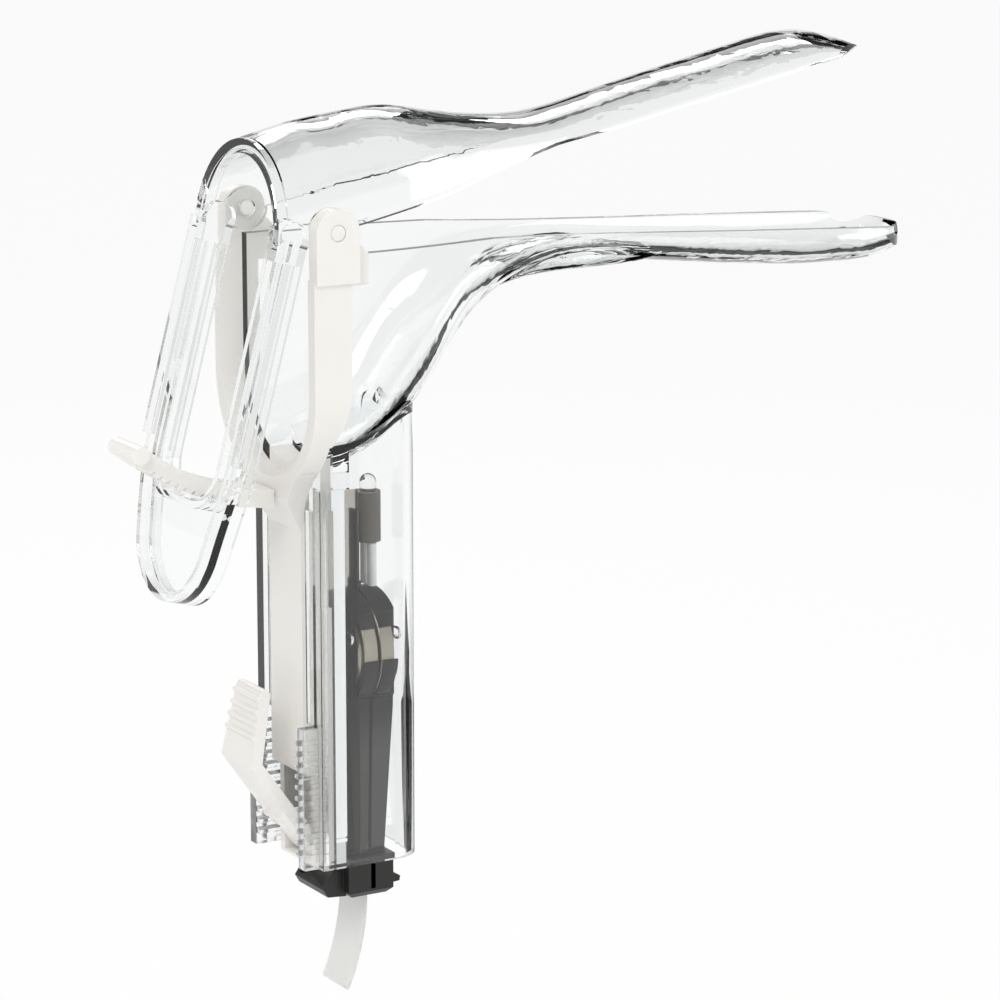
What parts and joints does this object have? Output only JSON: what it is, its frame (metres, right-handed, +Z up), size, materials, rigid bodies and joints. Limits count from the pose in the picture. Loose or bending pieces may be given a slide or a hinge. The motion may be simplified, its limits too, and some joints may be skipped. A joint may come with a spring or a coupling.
{
  "type": "bivalve speculum",
  "caption": "Clear single-use bivalve speculum: hinged upper blade with thumb lever on a sliding yoke, trough-shaped lower blade with hollow handle, toothed strap, latch and plug-in light.",
  "frame": {"origin": "middle of the blade hinge axis, in the middle of the port between the two ears", "axes": "+X forward along the blades, +Z up the handle, +Y to the side along the hinge axis"},
  "size_m": [0.1583, 0.0386, 0.166],
  "materials": {
    "clear_acrylic": "polished transparent",
    "white_plastic": "moulded semi-gloss",
    "black_plastic": "moulded satin",
    "dark_grey_plastic": "moulded satin",
    "spring_steel": "bright",
    "cell_steel": "satin",
    "lamp_holder_plastic": "moulded satin",
    "lens_resin": "polished",
    "leg_wire": "tinned",
    "sleeve_plastic": "smooth",
    "tab_film": "film"
  },
  "bodies": {
    "handle": {"lower_blade": "clear_acrylic"},
    "yoke": {"yoke": "white_plastic", "hinge_pin_far": "white_plastic", "hinge_pin_near": "white_plastic"},
    "upper_blade": {"upper_blade": "clear_acrylic"},
    "angle_strap": {"angle_strap": "white_plastic"},
    "height_latch": {"height_latch": "white_plastic"},
    "light_cartridge": {"cartridge_cap": "black_plastic", "carrier_front": "dark_grey_plastic", "carrier_rear": "dark_grey_plastic", "contact_front": "spring_steel", "contact_rear": "spring_steel", "battery_front": "cell_steel", "battery_rear": "cell_steel", "led_holder": "lamp_holder_plastic", "led_lens": "lens_resin", "led_leg_near": "leg_wire", "led_leg_far": "leg_wire", "leg_sleeve_near": "sleeve_plastic", "leg_sleeve_far": "sleeve_plastic"},
    "pull_tab": {"pull_tab": "tab_film"}
  },
  "joints": [
    {"name": "yoke_slide", "type": "slide", "parent": "handle", "child": "yoke", "axis": [0, 0, 1], "range_m": [0, 0.017]},
    {"name": "blade_hinge", "type": "hinge", "parent": "yoke", "child": "upper_blade", "pos_m": [0, 0, 0], "axis": [0, -1, 0], "range_deg": [-16, 12]},
    {"name": "strap_flex", "type": "hinge", "parent": "yoke", "child": "angle_strap", "pos_m": [-0.00475, 0, -0.0482], "axis": [0, 1, 0], "range_deg": [0, 6], "stiffness_Nm_per_rad": 0.02},
    {"name": "latch_press", "type": "hinge", "parent": "yoke", "child": "height_latch", "pos_m": [0.003, 0, -0.113], "axis": [0, 1, 0], "range_deg": [0, 8], "stiffness_Nm_per_rad": 0.05},
    {"name": "cartridge_slide", "type": "slide", "parent": "handle", "child": "light_cartridge", "axis": [0, 0, -1], "range_m": [0, 0.075]},
    {"name": "tab_pull", "type": "slide", "parent": "light_cartridge", "child": "pull_tab", "axis": [0, 0, -1], "range_m": [0, 0.055]}
  ]
}
